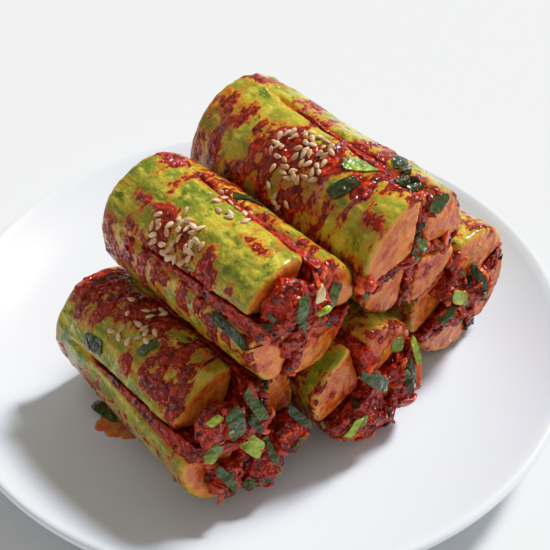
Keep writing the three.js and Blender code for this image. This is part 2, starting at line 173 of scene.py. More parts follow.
def mostlySmall(low, high):
    # a random size between two, more often near the smaller
    return low + (high - low) * dice.random() ** 2


# Materials

class Wire:
    # an output socket, to be used in expressions
    def __init__(self, finish, socket):
        self.finish = finish
        self.socket = socket

    def math(self, operation, *values):
        return self.finish.add("Math", dict(enumerate(values)), operation=operation)

    def __add__(self, other):
        return self.math("ADD", self, other)

    def __sub__(self, other):
        return self.math("SUBTRACT", self, other)

    def __rsub__(self, other):
        return self.math("SUBTRACT", other, self)

    def __mul__(self, other):
        return self.math("MULTIPLY", self, other)

    __radd__ = __add__
    __rmul__ = __mul__


class Finish:
    def __init__(self, name):
        self.material = bpy.data.materials.new(name)
        self.material.use_nodes = True
        self.tree = self.material.node_tree
        self.tree.nodes.clear()

    def add(self, kind, sockets=None, output=0, **settings):
        # a node of that kind, its settings first and then the values or wires of its sockets
        node = self.tree.nodes.new("ShaderNode" + kind)
        for name, value in settings.items():
            setattr(node, name, value)
        for name, value in (sockets or {}).items():
            if isinstance(value, Wire):
                self.tree.links.new(value.socket, node.inputs[name])
            else:
                node.inputs[name].default_value = value
        return Wire(self, node.outputs[output])

    def mix(self, share, low, high):
        # a share of high over low, each of them a colour or a wire
        low, high = ((*value, 1) if isinstance(value, tuple) else value for value in (low, high))
        return self.add("Mix", {0: share, 6: low, 7: high}, output=2, data_type="RGBA")

    def grain(self, place, size, detail=2, roughness=0.5):
        # noise around 0.5, with features of about that size
        sockets = {"Vector": place, "Scale": 1 / size, "Detail": detail, "Roughness": roughness}
        return self.add("TexNoise", sockets)

    def step(self, value, low, high):
        sockets = {"Value": value, "From Min": low, "From Max": high}
        return self.add("MapRange", sockets, interpolation_type="SMOOTHSTEP")

    def patches(self, place, size, edges, detail=2, roughness=0.5):
        # 1 in patches of about that size and 0 between them; edges are the noise at 0 and at 1
        return self.step(self.grain(place, size, detail, roughness), *edges)

    def attribute(self, name, output="Fac"):
        return self.add("Attribute", output=output, attribute_name=name)

    def stretch(self, place, scale):
        return self.add("Mapping", {"Vector": place, "Scale": scale})

    def place(self):
        # where a point lies on the piece, in millimetres
        return self.stretch(self.add("TexCoord", output="Object"), (1 / mm, 1 / mm, 1 / mm))

    def bump(self, height, depth, before=None):
        sockets = {"Height": height, "Distance": depth, "Strength": 1.0}
        if before:
            sockets["Normal"] = before
        return self.add("Bump", sockets)

    def surface(self, **sockets):
        names = {"color": "Base Color", "roughness": "Roughness", "normal": "Normal", "alpha": "Alpha",
                 "coat": "Coat Weight", "coatRoughness": "Coat Roughness", "soft": "Subsurface Weight",
                 "softRadius": "Subsurface Radius", "softScale": "Subsurface Scale",
                 "specular": "Specular IOR Level"}
        sockets = {names[name]: value for name, value in sockets.items()}
        shader = self.add("BsdfPrincipled", sockets)
        end = self.tree.nodes.new("ShaderNodeOutputMaterial")
        self.tree.links.new(shader.socket, end.inputs["Surface"])
        return self.material


def dress(piece, material, slot, *replaced):
    piece.data.materials.clear()
    piece.data.materials.append(material)
    if replaced:
        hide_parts(*replaced)
    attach(piece, "root")


# Camera, floor and light

view = {"place": (-174.7, -201.8, 283.2), "target": (15.75, 9.74, 20), "lens": 78.5}
studio = {"azimuth": 3, "elevation": 45, "spread": 14, "strength": 4.6, "lampColour": (0.94, 0.965, 1.0),
          "skyColour": (1.0, 0.96, 0.87), "skyStrength": 0.38, "floorSize": 6,
          "floorColour": (0.78, 0.79, 0.80), "floorShade": 0.99}
# how the picture rolls off towards white: brightness of the scene, brightness of the picture
shoulder = [(0.3, 0.3), (0.6, 0.6), (0.8, 0.775), (1.0, 0.87), (1.3, 0.93), (2.0, 0.985)]


def addCamera():
    place = Vector(view["place"]) * mm
    target = Vector(view["target"]) * mm
    turn = (target - place).to_track_quat("-Z", "Y").to_euler()
    bpy.ops.object.camera_add(location=place, rotation=turn)
    camera = bpy.context.object
    camera.data.lens = view["lens"]
    camera.data.clip_start = 0.01
    bpy.context.scene.camera = camera


def addStudio():
    bpy.ops.mesh.primitive_plane_add(size=studio["floorSize"])
    floor = bpy.context.object
    floor.name = "floor"
    paint = Finish("floorPaper")
    place = paint.add("TexCoord", output="Object")
    shade = tuple(studio["floorShade"] * value for value in studio["floorColour"])
    tone = paint.mix(paint.grain(place, 0.2), studio["floorColour"], shade)
    floor.data.materials.append(paint.surface(color=tone, roughness=0.9))

    azimuth = math.radians(studio["azimuth"])
    elevation = math.radians(studio["elevation"])
    flat = math.cos(elevation)
    towards = Vector((flat * math.cos(azimuth), flat * math.sin(azimuth), math.sin(elevation)))
    turn = towards.to_track_quat("Z", "Y").to_euler()
    bpy.ops.object.light_add(type="SUN", location=towards, rotation=turn)
    lamp = bpy.context.object
    lamp.name = "key"
    lamp.data.angle = math.radians(studio["spread"])
    lamp.data.energy = studio["strength"]
    lamp.data.color = studio["lampColour"]

    world = bpy.data.worlds.new("sky")
    world.use_nodes = True
    background = world.node_tree.nodes["Background"]
    background.inputs["Color"].default_value = (*studio["skyColour"], 1)
    background.inputs["Strength"].default_value = studio["skyStrength"]
    bpy.context.scene.world = world

    look = bpy.context.scene.view_settings
    look.view_transform = "Standard"
    look.use_curve_mapping = True
    brightest = shoulder[-1][0]
    look.curve_mapping.white_level = (brightest, brightest, brightest)
    roll = look.curve_mapping.curves[3]
    roll.points[-1].location = (1, shoulder[-1][1])
    for scene, picture in shoulder[:-1]:
        roll.points.new(scene / brightest, picture)
    look.curve_mapping.update()


addCamera()
addStudio()
print("camera and studio set")

# Plate: one profile, extruded ring by ring from the well round to the middle of the foot

plate = {"rimRadius": 95, "rimHeight": 20, "wellRadius": 62, "wellHeight": 7, "wall": 4, "curve": 1.8,
         "lipStart": 0.97, "lipStep": 25, "lean": 0.45, "thinning": 0.35, "footInner": 50, "footOuter": 56,
         "footHeight": 2.4, "footEdge": 0.4, "footFlare": (1, 0.2, -0.6), "sides": 192, "steps": 14,
         "innerRing": 3, "smoothUnder": 50, "tones": ((0.80, 0.86, 0.95), (0.815, 0.872, 0.96))}


def plateProfile():
    well = plate["wellRadius"]
    wall = plate["wall"]
    rise = plate["rimHeight"] - plate["wellHeight"]
    inner = []
    outer = []
    for step in range(plate["steps"] + 1):
        share = plate["lipStart"] * step / plate["steps"]
        radius = well + (plate["rimRadius"] - well) * share
        height = plate["wellHeight"] + rise * share ** plate["curve"]
        thickness = wall * (1 - plate["thinning"] * share)
        inner.append((radius, height))
        outer.append((radius + plate["lean"] * wall * share, height - thickness))
    middle = (Vector(inner[-1]) + Vector(outer[-1])) / 2
    arm = Vector(inner[-1]) - middle
    lip = []
    for turn in range(plate["lipStep"], 180, plate["lipStep"]):
        lip.append(middle + Matrix.Rotation(math.radians(-turn), 2) @ arm)
    start, edge, ground = plate["footFlare"]
    outside, inside = plate["footOuter"], plate["footInner"]
    foot = [(outside + start, plate["footHeight"]), (outside + edge, plate["footEdge"]),
            (outside + ground, 0), (inside - ground, 0),
            (inside - edge, plate["footEdge"]), (inside - start, plate["footHeight"])]
    return [*inner, *lip, *reversed(outer[1:]), *foot]


def addPlate():
    profile = plateProfile()
    radius, height = profile[0]
    bpy.ops.mesh.primitive_circle_add(vertices=plate["sides"], radius=radius, fill_type="NGON",
                                      location=(0, 0, height))
    piece = bpy.context.object
    bpy.ops.object.transform_apply(location=True)
    bpy.ops.object.editmode_toggle()
    bpy.ops.mesh.inset(thickness=plate["innerRing"])  # keeps the well flat beside its curved edge
    pick("EDGE", lambda co: co.xy.length > radius - close)
    for nextRadius, nextHeight in profile[1:]:
        grow = nextRadius / radius
        bpy.ops.mesh.extrude_edges_move()
        bpy.ops.transform.resize(value=(grow, grow, 1), center_override=(0, 0, height))
        bpy.ops.transform.translate(value=(0, 0, nextHeight - height))
        radius, height = nextRadius, nextHeight
    bpy.ops.mesh.edge_face_add()
    bpy.ops.mesh.inset(thickness=plate["innerRing"])
    bpy.ops.mesh.select_all(action="SELECT")
    bpy.ops.mesh.normals_make_consistent(inside=False)
    bpy.ops.object.editmode_toggle()
    bpy.ops.object.shade_smooth_by_angle(angle=math.radians(plate["smoothUnder"]))
    piece.data.transform(toMetres)
    piece.name = piece.data.name = "plateGlazed"
    return piece


def glazeFinish():
    glaze = Finish("plateGlaze")
    place = glaze.add("TexCoord", output="Object")
    tone = glaze.mix(glaze.grain(place, 0.03), *plate["tones"])
    ripple = glaze.bump(glaze.grain(place, 0.02), 0.00003)
    rough = 0.2 + 0.06 * glaze.grain(place, 0.004, 3)
    return glaze.surface(color=tone, roughness=rough, normal=ripple, coat=0.3, coatRoughness=0.08)


dress(addPlate(), glazeFinish(), "glaze", "plate")
print("plate made")

# Cucumber sections. tip is the middle of the cut end, seen from above, turn is about the vertical,
# cross is the turn of the cross cut and skew how far each of its arms is off square. Angles round the
# axis are clockwise from up, facing the cut end. setBack is for the upper right, lower right, lower
# left and upper left quarters. A smear is (mm behind the cut end, angle, half length, half angle,
# strength), and a negative one is clean skin. A strip is (tone, from, to, width) in the plane of the
# cut end, and a leaf is (tone, behind, angle, turn, length, width) on the skin. A patch of sesame is
# (behind, angle, half length, half angle, count).

sections = {
    "lower_left": {
        "tip": (-40.6, -42.5), "turn": -1.2, "length": 71, "frontRadius": 17.8, "backRadius": 17.3,
        "spread": 3.3, "cross": 20, "skew": (0, 0, 0, 0), "setBack": (4.5, 2, 2, 10), "phase": 11,
        "smears": [(66, -15, 9, 22, 0.5), (25, -10, 13, 22, 0.4), (50, 0, 9, 18, 0.4),
                   (19, -44, 12, 8, 0.5), (30, -72, 30, 16, -0.7), (60, -60, 10, 14, -0.5),
                   (36, -20, 5, 12, -0.4), (10, 3, 5, 10, -0.3), (9, -18, 8, 16, -0.2)],
        "strips": [("dull", (-5.3, 17.3), (-5, 7.9), 5), ("grey", (1.6, 17.2), (4, 7.9), 3.2),
                   ("fresh", (-1.8, 2.7), (2.4, -3.8), 5), ("pale", (-14.7, 3.1), (-10.2, 6.8), 3.6),
                   ("dull", (-12.3, 0.1), (-9.3, -6.9), 2.6), ("dull", (-1.8, -10.8), (-3.2, -16.5), 4),
                   ("dark", (13.7, 4.2), (18.8, -4.8), 2.6), ("fresh", (-12.2, 15.2), (-8.6, 16.9), 2.2),
                   ("dark", (0, 10.5), (2.6, 5.5), 2.6), ("dull", (4.9, -2.3), (5.2, -9.3), 2.2),
                   ("root", (-6.3, 2.3), (-0.7, 3.8), 1.3)],
        "leaves": [("dark", 51, -54, 12, 8, 4.2), ("dull", 33, -24, 70, 6, 3)],
        "sesame": [(43, -12, 9, 24, 17)],
    },
    "lower_middle": {
        "tip": (-0.2, -50.5), "turn": 0, "length": 71, "frontRadius": 17, "backRadius": 18.4,
        "spread": 2.8, "cross": -14, "skew": (0, -4, -4, -12), "setBack": (1.5, 0, 0, 3), "phase": 23,
        "smears": [(15, -40, 10, 20, -0.08)],
        "strips": [("dull", (-6, 10.5), (1.5, 2), 4.2), ("fresh", (-8.8, -4.5), (-12.6, -10.6), 2.2),
                   ("dark", (11, 4.4), (10.5, -5), 3.6), ("pale", (11, 10.7), (9.6, 5.7), 3.6),
                   ("fresh", (15, 9), (15.6, 1), 2), ("root", (16, 2), (13.6, -7.2), 2.4)],
        "leaves": [], "sesame": [],
    },
    "lower_right": {
        "tip": (46.4, -43.8), "turn": 2.1, "length": 73, "frontRadius": 18.5, "backRadius": 19.3,
        "spread": 3.2, "cross": -20, "skew": (0, 0, 0, -4), "setBack": (1, 1, 1, 3), "phase": 37,
        "smears": [(10, 60, 12, 20, -0.1), (40, 80, 20, 25, -0.1)],
        "strips": [("fresh", (-9.4, 6.8), (-0.4, -0.8), 4.4), ("dull", (-12.9, -2.7), (-7.3, 0.7), 4.6),
                   ("dark", (2.3, 9.4), (4.4, 2.2), 2.6), ("root", (1.1, -8.8), (7.4, -9.9), 2)],
        "leaves": [], "sesame": [],
    },
    "upper_left": {
        "tip": (-20, -42.2), "turn": -0.2, "pitch": 1.7, "length": 68, "frontRadius": 16.4,
        "backRadius": 18.3, "spread": 2.7, "cross": 22, "skew": (0, 0, 0, 0), "setBack": (0.5, 0, 0.5, 5),
        "phase": 41,
        "smears": [(14, 22, 22, 7, 0.55), (62, 17, 7, 12, 0.6), (53, -32, 8, 6, 0.5), (45, -30, 5, 6, 0.4),
                   (35, -85, 35, 26, 0.15), (24, -52, 6, 12, 0.4), (19, -8, 5, 5, 0.35),
                   (33, -12, 12, 14, -0.6), (58, -20, 8, 10, -0.5), (10, -30, 8, 16, -0.7),
                   (62, -48, 6, 10, -0.2), (45, 5, 16, 9, -0.4), (5, 4, 4, 10, -0.3)],
        "strips": [("grey", (11.8, 6.8), (7, 0.7), 3), ("grey", (-4.7, 15.6), (-6.9, 9.1), 2.8),
                   ("radish", (3, 12.9), (2.2, 7.8), 2.6), ("fresh", (1.2, 4.3), (5, 5.7), 1.8),
                   ("dull", (-4.2, 4.2), (-2.1, 1.1), 3)],
        "leaves": [("dark", 9, -81, -4, 14, 2.4), ("dark", 36, 38, 40, 8, 3.6)],
        "sesame": [(38, -41, 10, 22, 31), (33, 3, 9, 6, 5), (34, 20, 8, 3, 8)],
    },
    "upper_right": {
        "tip": (19.6, -45), "turn": -0.2, "pitch": -0.5, "length": 77.5, "frontRadius": 18,
        "backRadius": 19.9, "spread": 3, "cross": 10, "skew": (0, 6, -6, -24), "setBack": (1, 0.5, 2, 0),
        "phase": 53,
        "smears": [(61, -32, 8, 18, 0.12), (71, -25, 6, 14, 0.2), (16, 8, 18, 10, 0.7),
                   (27, -18, 10, 10, 0.5), (45, -30, 12, 16, 0.3), (13, -30, 5, 6, 0.4),
                   (50, -75, 30, 20, 0.3), (64, 2, 9, 10, -0.5), (57, -52, 6, 8, -0.3),
                   (47, -2, 10, 7, -0.3), (6, -38, 6, 6, 0.5), (3, -18, 3, 7, -0.4),
                   (12, -62, 14, 16, -0.1), (8, 3, 7, 10, 0.4)],
        "strips": [("grey", (-1.9, 1.7), (2.2, 4.7), 4), ("dull", (4.2, 13.4), (9, 17.2), 4.2)],
        "leaves": [("pale", 22, -6, 35, 9, 4.6), ("dark", 16, 24, -30, 9, 4.2),
                   ("dark", 20, -30, 60, 8, 4.6), ("dark", 9, 9, 20, 6, 3)],
        "sesame": [(38, -27, 10, 24, 42), (38, -66, 6, 7, 5)],
    },
}
cucumber = {"uncutLength": 11, "rootOffset": 0.3, "rootDive": 3, "frontCorner": 3, "rootCorner": 0.8,
            "cornerFacets": (-72, -48, -24, 0), "coreChamfer": 0.8, "tipEdge": 1.3, "tipLean": 0.05,
            "leanReach": 14, "backEdge": 2.6, "edgeSegments": 4, "waveDepth": 0.016, "sides": 80,
            "voxel": 0.55, "outside": 60, "cutSearch": (0, 4, -4, 8, -8, 12, -12), "leastSkin": 0.85}
# what lies on the skin; bumps and clots are (height, size)
relief = {"bumps": ((0.45, 7), (0.16, 2.2)), "wrinkle": 0.2, "wrinkleSize": (2, 9, 2), "pasteShare": 0.46,
          "streak": 0.5, "streakSize": (12, 4, 12), "blotch": 0.35, "blotchSize": 5, "fleshLoss": 0.14,
          "thickness": (0.5, 0.95), "pasteLift": 0.25, "clots": ((0.55, 1.3),), "skinDepth": (0.5, 2),
          "endEdge": (1.2, 0.2), "endDepth": 6}


def rootOf(section):
    return section["length"] - cucumber["uncutLength"]


def radiusAt(section, behind):
    share = smoothStep(0, section["length"], behind)
    return section["frontRadius"] + (section["backRadius"] - section["frontRadius"]) * share


def offsetAt(section, behind):
    # how far a quarter has moved out from each of its two cuts
    widest = section["spread"] / math.sqrt(2)
    return widest + (cucumber["rootOffset"] - widest) * behind / rootOf(section)


def skewAt(section, angle):
    # how far a direction has turned, in degrees, because the cuts aren't square to each other
    turn = (angle - section["cross"]) % 360 / 90
    arm = int(turn)
    low, high = section["skew"][arm], section["skew"][(arm + 1) % 4]
    return low + (high - low) * smoothStep(0, 1, turn - arm)


def placementOf(place):
    # from a section's own millimetres to the frame's metres, its height still open
    section = sections[place]
    drop = section["frontRadius"] + 0.9 * section["spread"] - section["backRadius"]
    pitch = math.radians(section.get("pitch", math.degrees(math.atan2(drop, section["length"]))))
    turn = Matrix.Rotation(math.radians(section["turn"]), 4, "Z") @ Matrix.Rotation(-pitch, 4, "X")
    return toMetres @ Matrix.Translation((*section["tip"], 0)) @ turn


def across(angle):
    return Vector((math.sin(math.radians(angle)), 0, math.cos(math.radians(angle))))


def addRod(radius, front, back):
    bpy.ops.mesh.primitive_cylinder_add(vertices=cucumber["sides"], radius=radius, depth=back - front,
                                        location=(0, (front + back) / 2, 0), rotation=(math.pi / 2, 0, 0))
    bpy.ops.object.transform_apply(location=True, rotation=True)
    return bpy.context.object


def trim(front, back, outwards):
    # cuts away what lies beyond a plane through two points, square to outwards
    along = (back - front).normalized()
    normal = outwards - along * outwards.dot(along)
    bpy.ops.mesh.select_all(action="SELECT")
    bpy.ops.mesh.bisect(plane_co=front, plane_no=normal.normalized(), use_fill=True, clear_outer=True)


def cornerPoint(section, behind, facet, mirrored):
    # a point on the rounding between a cut and the skin, and the way it faces
    share = min(1, behind / rootOf(section))
    corner = cucumber["frontCorner"] + (cucumber["rootCorner"] - cucumber["frontCorner"]) * share
    offset = offsetAt(section, behind)
    reach = math.sqrt((radiusAt(section, behind) - corner) ** 2 - corner ** 2)
    facing = Vector((math.cos(math.radians(facet)), 0, math.sin(math.radians(facet))))
    point = Vector((reach + offset, behind, corner + offset)) + corner * facing
    return (point.zyx, facing.zyx) if mirrored else (point, facing)


def addQuarter(section, quarter):
    tip = section["setBack"][quarter]
    end = rootOf(section) + cucumber["rootDive"]
    endRadius = radiusAt(section, end)
    piece = addRod(endRadius, tip, end)
    bpy.ops.object.editmode_toggle()
    for side in ((-1, 0, 0), (0, 0, -1)):
        trim(Vector((0, tip, 0)), Vector((0, end, 0)), Vector(side))
    for behind in (tip, end):
        grow = radiusAt(section, behind) / endRadius
        shift = offsetAt(section, behind)
        pick("VERT", lambda co: abs(co.y - behind) < close)
        bpy.ops.transform.resize(value=(grow, 1, grow), center_override=(0, behind, 0))
        bpy.ops.transform.translate(value=(shift, 0, shift))
    for mirrored in (False, True):
        for facet in cucumber["cornerFacets"]:
            front, facing = cornerPoint(section, tip, facet, mirrored)
            back, _ = cornerPoint(section, end, facet, mirrored)
            trim(front, back, facing)
    core = []
    for behind in (tip, end):
        shift = offsetAt(section, behind) + cucumber["coreChamfer"] / 2
        core.append(Vector((shift, behind, shift)))
    trim(*core, Vector((-1, 0, -1)))
    pick("EDGE", lambda co: co.y < tip + close)
    bpy.ops.mesh.bevel(offset=cucumber["tipEdge"], segments=cucumber["edgeSegments"])
    bpy.ops.object.editmode_toggle()
    piece.rotation_euler = (0, math.radians(section["cross"] + 90 * quarter), 0)
    bpy.ops.object.transform_apply(rotation=True)
    return piece


def addWholeEnd(section):
    back = section["length"]
    piece = addRod(section["backRadius"], rootOf(section) + 1, back)
    bpy.ops.object.editmode_toggle()
    pick("EDGE", lambda co: co.y > back - close)
    bpy.ops.mesh.bevel(offset=cucumber["backEdge"], segments=cucumber["edgeSegments"])
    bpy.ops.object.editmode_toggle()
    return piece


def skinRadius(section, angle, behind):
    # how far from the axis the skin lies, in one direction
    turn = math.radians((math.degrees(angle) - section["cross"]) % 90 - 45)
    shift = math.sqrt(2) * max(0, offsetAt(section, behind))
    radius = radiusAt(section, behind)
    return shift * math.cos(turn) + math.sqrt(radius ** 2 - (shift * math.sin(turn)) ** 2)


def waveAt(section, angle, behind):
    # low waves round and along a section, different for each
    phase = section["phase"]
    return (math.sin(2 * angle + behind / 19 + phase) + 0.7 * math.sin(5 * angle - behind / 11 + 2 * phase)
            + 0.6 * math.sin(3 * angle + behind / 6 + 3 * phase))


def smearAt(section, angle, behind):
    # what the smears of a section add to the paste at a place, or take away
    total = 0
    for middle, around, halfLength, halfAngle, strength in section["smears"]:
        off = (math.degrees(angle) - around + 180) % 360 - 180
        total += strength * math.exp(-((behind - middle) / halfLength) ** 2 - (off / halfAngle) ** 2)
    return total


def noiseAt(spot, size):
    # noise between -1 and 1, with features of that size across, along and up
    return noise.noise(Vector([value / length for value, length in zip(spot, size)]))


def pasteAt(spot, smear, onSkin):
    # above a half where paste covers the surface
    streak = relief["streak"] * noiseAt(spot, relief["streakSize"])
    blotch = relief["blotch"] * noise.fractal(spot / relief["blotchSize"], 0.7, 2, 3)
    return relief["pasteShare"] + smear * onSkin + streak + blotch - relief["fleshLoss"] * (1 - onSkin)


def reliefAt(spot, paste):
    # how far the surface rises, in millimetres
    wrinkle = relief["wrinkle"] * noiseAt(spot, relief["wrinkleSize"])
    thick = smoothStep(*relief["thickness"], paste)
    pasteHeight = thick * (relief["pasteLift"] + bumpsAt(spot, relief["clots"]))
    return bumpsAt(spot, relief["bumps"]) + wrinkle + pasteHeight


def weatherSkin(section, piece):
    # skews, leans and waves a section, gives it its relief, and stores what its finish reads
    seed = Vector((7.3, 3.1, 5.7)) * section["phase"]
    endStart, endFull = (section["length"] - edge for edge in relief["endEdge"])
    depths = []
    pastes = []
    grains = []

    def move(co, normal):
        x, behind, z = co
        angle = math.atan2(x, z)
        radius = math.hypot(x, z)
        skin = skinRadius(section, angle, behind)
        skew = math.radians(skewAt(section, math.degrees(angle)))
        depth = skin - radius
        onEnd = smoothStep(endStart, endFull, behind)
        onSkin = (1 - smoothStep(*relief["skinDepth"], depth)) * (1 - onEnd)
        spot = co + seed
        paste = pasteAt(spot, smearAt(section, angle + skew, behind), onSkin)
        share = min(1, (radius / skin) ** 3)
        lean = cucumber["tipLean"] * radius * max(0, 1 - behind / cucumber["leanReach"])
        grow = 1 + cucumber["waveDepth"] * waveAt(section, angle + skew, behind) * share
        depths.append(max(depth, relief["endDepth"] * onEnd))
        pastes.append(paste)
        grains.extend(spot)
        moved = Vector((x * grow, behind + lean, z * grow)) + normal * reliefAt(spot, paste)
        return Matrix.Rotation(skew, 3, "Y") @ moved

    reshape(piece, move)
    store(piece, "depth", depths)
    store(piece, "paste", pastes)
    store(piece, "grain", grains, "FLOAT_VECTOR")


def addCucumber(place):
    section = sections[place]
    parts = [addWholeEnd(section)] + [addQuarter(section, quarter) for quarter in range(4)]
    piece = join(parts, "cucumber" + place.title().replace("_", ""))
    weld(piece, cucumber["voxel"])
    weatherSkin(section, piece)
    bpy.ops.object.shade_smooth()
    placement = placementOf(place)
    lowest = min((placement @ vertex.co).z for vertex in piece.data.vertices)
    section["placement"] = Matrix.Translation((0, 0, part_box("cucumber_" + place)[0].z - lowest)) @ placement
    section["skin"] = treeOf(piece)
    piece.data.transform(section["placement"])
    return piece


pasteTones = {"deep": (0.075, 0.003, 0.002), "red": (0.40, 0.016, 0.003), "bright": (0.70, 0.045, 0.005),
              "orange": (0.92, 0.24, 0.03), "pit": (0.028, 0.003, 0.002)}
# light is a painted highlight: pale yellow streaks on the skin that stand for the sheen of its wet surface
skinTones = {"green": (0.21, 0.235, 0.014), "yellow": (0.55, 0.44, 0.04), "dark": (0.125, 0.165, 0.01),
             "light": (0.80, 0.64, 0.12), "rind": (0.70, 0.33, 0.03), "soaked": (0.60, 0.08, 0.008),
             "flesh": (0.88, 0.27, 0.04), "streak": (0.74, 0.13, 0.02), "speck": (0.66, 0.05, 0.008),
             "stain": (0.60, 0.21, 0.012), "smear": (0.57, 0.045, 0.005)}


def pasteColour(finish, grain, pits):
    # dark wet red, brighter where it is thin, with specks of orange, and with dark pits of that strength
    tone = finish.patches(grain, 3.6, (0.34, 0.6), 5, 0.62)
    tone = finish.mix(tone, pasteTones["deep"], pasteTones["red"])
    tone = finish.mix(finish.patches(grain, 1.9, (0.52, 0.68), 3) * 0.85, tone, pasteTones["bright"])
    tone = finish.mix(finish.patches(grain, 0.9, (0.66, 0.74)) * 0.7, tone, pasteTones["orange"])
    return finish.mix(finish.patches(grain, 1.4, (0.4, 0.28)) * pits, tone, pasteTones["pit"])


def cucumberFinish():
    # green skin with pale streaks of painted highlight along it, amber rind and soaked flesh by their depth,
    # under ragged smears of paste
    wet = Finish("cucumberWet")
    grain = wet.attribute("grain", "Vector")
    paste = wet.attribute("paste")
    depth = wet.attribute("depth")
    along = wet.stretch(grain, (1, 0.4, 1))
    around = wet.stretch(grain, (0.35, 1, 0.35))

    green = wet.mix(wet.patches(along, 5, (0.38, 0.62), 4, 0.6), skinTones["green"], skinTones["yellow"])
    green = wet.mix(wet.patches(grain, 5, (0.5, 0.64), 4, 0.65), green, skinTones["dark"])
    # painted highlight: fine pale streaks along the axis, standing for the sheen on the wet skin
    green = wet.mix(wet.patches(along, 1.2, (0.54, 0.74), 3) * 0.6, green, skinTones["light"])
    flesh = wet.mix(wet.patches(grain, 5, (0.38, 0.6), 5, 0.66), skinTones["soaked"], skinTones["flesh"])
    flesh = wet.mix(wet.patches(around, 1.3, (0.5, 0.7), 3) * 0.5, flesh, skinTones["streak"])
    flesh = wet.mix(wet.patches(grain, 1.1, (0.62, 0.74)) * 0.6, flesh, skinTones["speck"])
    rind = wet.mix(wet.step(depth, 0.15, 1.1), green, skinTones["rind"])
    bare = wet.step(depth, 0.9, 2.4)
    body = wet.mix(bare, rind, flesh)

    fringe = (1 - 0.6 * bare) * (wet.grain(grain, 1.7, 5, 0.72) - 0.5)
    ragged = paste + fringe + 0.55 * (wet.grain(around, 1.1, 3) - 0.5)
    stained = wet.mix(wet.step(ragged, 0.26, 0.54) * 0.7, body, skinTones["stain"])
    smeared = wet.mix(wet.step(ragged, 0.45, 0.6) * 0.9, stained, skinTones["smear"])
    cover = wet.step(ragged - 0.1 * bare, 0.57, 0.73)
    color = wet.mix(cover, smeared, pasteColour(wet, grain, 0.3))

    fine = wet.bump(wet.grain(grain, 1.8, 2), 0.0005)
    clots = wet.bump(wet.grain(grain, 1.9, 1) * cover, 0.0018, fine)
    rough = 0.12 - 0.07 * cover + 0.1 * wet.grain(grain, 2.5, 3)
    return wet.surface(color=color, roughness=rough, normal=clots, specular=0.34, soft=0.12,
                       softRadius=(1.0, 0.4, 0.12), softScale=0.002)


skinFinish = cucumberFinish()
for place in sections:
    dress(addCucumber(place), skinFinish, "cucumber", "cucumber_" + place)
print("cucumber sections made")

# Stuffing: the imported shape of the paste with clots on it. A bump is (height, size).

stuffing = {"weld": 0.001, "voxel": 0.45, "clots": 110, "clotRadius": (0.5, 1.3), "clotStretch": (0.8, 1.4),
            "clotShift": 0.4, "frontDepth": 5, "bumps": ((0.35, 2.4), (0.3, 1.1)), "reach": 19,
            "deepest": 9, "raysFrom": -50}


def addStuffing(place):
    section = sections[place]
    core = copyOf(frame["nodes"]["stuffing_" + place], section["placement"].inverted())
    core.parent = None
    pickObject(core)
    bpy.ops.object.editmode_toggle()
    bpy.ops.mesh.select_all(action="SELECT")
    bpy.ops.mesh.remove_doubles(threshold=stuffing["weld"])
    bpy.ops.object.editmode_toggle()
    bpy.ops.mesh.primitive_ico_sphere_add(subdivisions=2, radius=1)
    clot = bpy.context.object
    spots = [corner.co.copy() for corner in core.data.vertices if corner.co.y < stuffing["frontDepth"]]
    parts = [core]
    for _ in range(stuffing["clots"]):
        size = mostlySmall(*stuffing["clotRadius"])
        wide = size * dice.uniform(*stuffing["clotStretch"])
        high = size * dice.uniform(*stuffing["clotStretch"])
        spot = dice.choice(spots) + anyVector(1) * stuffing["clotShift"]
        parts.append(copyOf(clot, Matrix.Translation(spot) @ Matrix.Diagonal((wide, size, high, 1))))
    bpy.data.objects.remove(clot)
    piece = join(parts, "stuffing" + place.title().replace("_", ""))
    weld(piece, stuffing["voxel"])
    seed = Vector((3.7, 8.1, 2.9)) * section["phase"]
    grains = []

    def move(co, normal):
        spot = co + seed
        grains.extend(spot)
        return co + normal * bumpsAt(spot, stuffing["bumps"])

    reshape(piece, move)
    store(piece, "grain", grains, "FLOAT_VECTOR")
    bpy.ops.object.shade_smooth()
    section["paste"] = treeOf(piece)
    piece.data.transform(section["placement"])
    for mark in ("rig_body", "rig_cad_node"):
        if mark in piece:
            del piece[mark]  # came with the copy of the frame's node
    return piece


def stuffingFinish():
    paste = Finish("chilliPaste")
    grain = paste.attribute("grain", "Vector")
    color = pasteColour(paste, grain, 1)
    fine = paste.bump(paste.grain(grain, 0.8, 2), 0.0002)
    clots = paste.bump(paste.grain(grain, 1.9, 1), 0.0018, fine)
    rough = 0.03 + 0.1 * paste.grain(grain, 1.5, 2)
    return paste.surface(color=color, roughness=rough, normal=clots, specular=0.3, soft=0.1,
                         softRadius=(1.0, 0.3, 0.15), softScale=0.0015)


pasteFinish = stuffingFinish()
for place in sections:
    dress(addStuffing(place), pasteFinish, "stuffing", "stuffing_" + place)
print("stuffing made")

# Strips of chive, leaf and root in the cut ends, leaves on the skin, scraps and shreds on the paste. Each
# is a copy of one flat leaf, one unit long and wide, draped over what it lies on.

stripTones = {"dark": 0.05, "dull": 0.3, "grey": 0.5, "pale": 0.75, "fresh": 0.95,
              "root": 0.35, "radish": 1}
sticks = ("root", "radish")
leaf = {"columns": 4, "rows": 8, "taper": 0.3, "slant": 0.12, "thickness": 0.45, "rootThickness": 1.1,
        "wave": 0.25, "fold": 0.55, "curl": 0.4, "twist": 30, "facing": (-0.4, -1, 0.5), "steepest": 2.5,
        "squarest": 0.8, "stripLift": 0.2, "skinLift": 0.1, "skinWave": 0.3, "smoothUnder": 40}
scraps = {"count": 14, "length": (1.6, 4.5), "width": (0.7, 1.7), "tilt": 0.5, "sunk": 0, "curl": 0.4,
          "twist": 40, "tones": (0.02, 0.08, 0.15, 0.3, 0.3, 0.5, 0.7)}
sunkSticks = {"count": 20, "length": (3, 7), "width": (1.1, 1.9), "tilt": 0.4, "sunk": 0.6, "curl": 0.7,
              "twist": 40}
